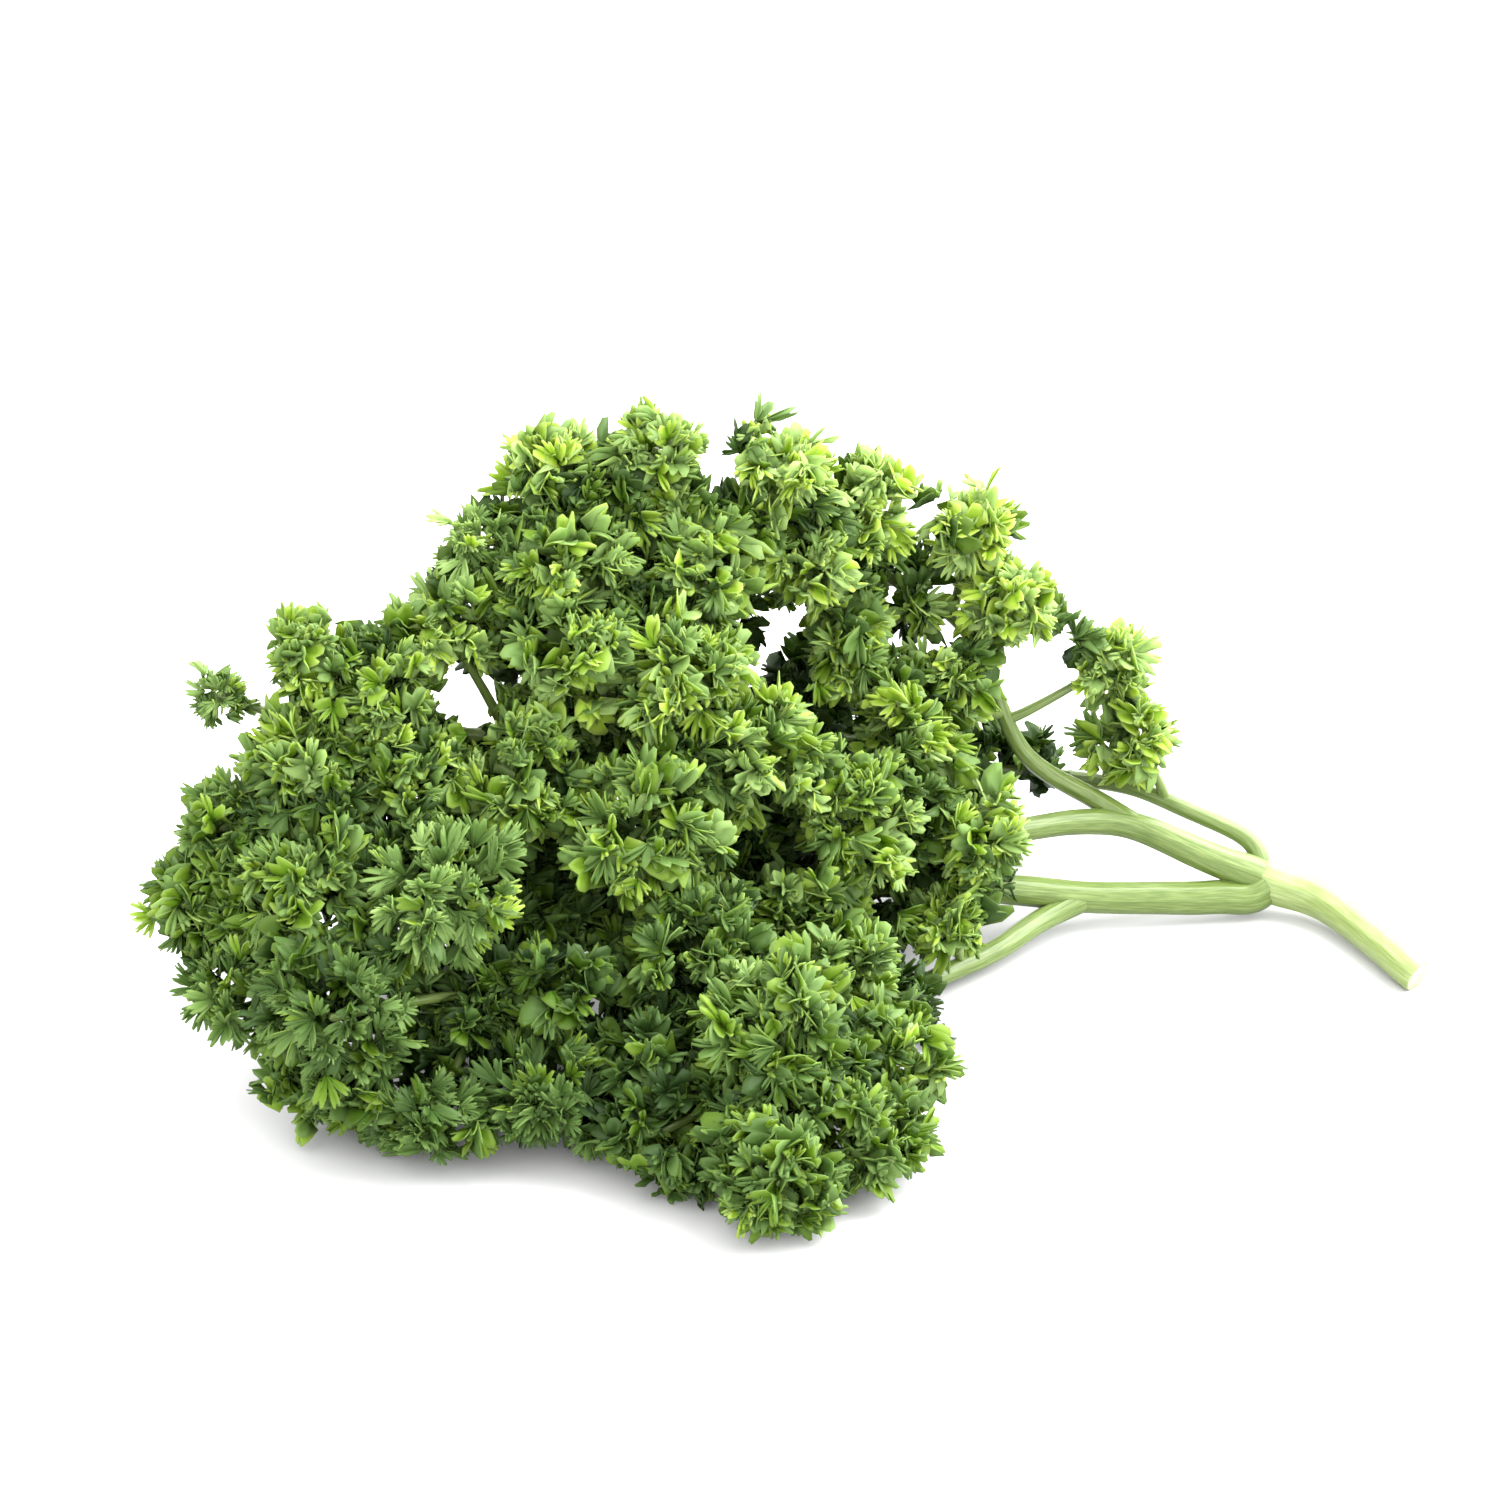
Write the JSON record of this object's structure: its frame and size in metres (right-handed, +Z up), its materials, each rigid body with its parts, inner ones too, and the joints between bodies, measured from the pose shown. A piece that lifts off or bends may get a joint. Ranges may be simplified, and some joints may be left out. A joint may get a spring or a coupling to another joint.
{
  "type": "curly parsley sprig",
  "caption": "Cut sprig of curly-leaf parsley lying on its side: a pale stalk that forks into thin branches carrying tightly crisped, toothed leaflets.",
  "frame": {"origin": "on the surface that the sprig lies on, under the middle of its footprint", "axes": "+X from the leaflets towards the cut end of the stalk, +Y towards the high side of the blade, +Z up"},
  "size_m": [0.131, 0.0938, 0.063],
  "materials": {
    "stem": "fresh green plant stem: smooth, waxy, satin, faintly ribbed along its length",
    "leaf": "fresh herb leaf: thin, crisped, soft satin, mid green with paler teeth and undersides"
  },
  "bodies": {
    "root": {"stalk": "stem", "lower_branch": "stem", "middle_branch": "stem", "upper_branch": "stem", "rise_branch": "stem", "front_branch": "stem", "skirt_branch": "stem", "leaflet_top_1": "leaf", "leaflet_top_2": "leaf", "leaflet_top_3": "leaf", "leaflet_top_4": "leaf", "leaflet_crown_1": "leaf", "leaflet_crown_2": "leaf", "leaflet_crown_3": "leaf", "leaflet_crown_4": "leaf", "leaflet_right_1": "leaf", "leaflet_right_2": "leaf", "leaflet_right_3": "leaf", "leaflet_right_4": "leaf", "leaflet_inner_1": "leaf", "leaflet_rear_1": "leaf", "leaflet_rear_2": "leaf", "leaflet_right_5": "leaf", "leaflet_rear_3": "leaf", "leaflet_rear_4": "leaf", "leaflet_right_6": "leaf", "leaflet_right_7": "leaf", "leaflet_crown_5": "leaf", "leaflet_crown_6": "leaf", "leaflet_crown_7": "leaf", "leaflet_middle_1": "leaf", "leaflet_middle_2": "leaf", "leaflet_middle_3": "leaf", "leaflet_middle_4": "leaf", "leaflet_left_1": "leaf", "leaflet_left_2": "leaf", "leaflet_left_3": "leaf", "leaflet_left_4": "leaf", "leaflet_left_5": "leaf", "leaflet_left_6": "leaf", "leaflet_rear_6": "leaf", "leaflet_left_7": "leaf", "leaflet_left_8": "leaf", "leaflet_left_9": "leaf", "leaflet_front_1": "leaf", "leaflet_front_6": "leaf", "leaflet_front_7": "leaf", "leaflet_rear_5": "leaf", "leaflet_inner_2": "leaf", "leaflet_front_2": "leaf", "leaflet_front_3": "leaf", "leaflet_front_4": "leaf", "leaflet_front_5": "leaf", "leaflet_front_8": "leaf", "leaflet_front_9": "leaf", "leaflet_front_10": "leaf", "leaflet_front_11": "leaf", "leaflet_front_12": "leaf", "leaflet_front_13": "leaf", "leaflet_front_14": "leaf"}
  },
  "joints": []
}
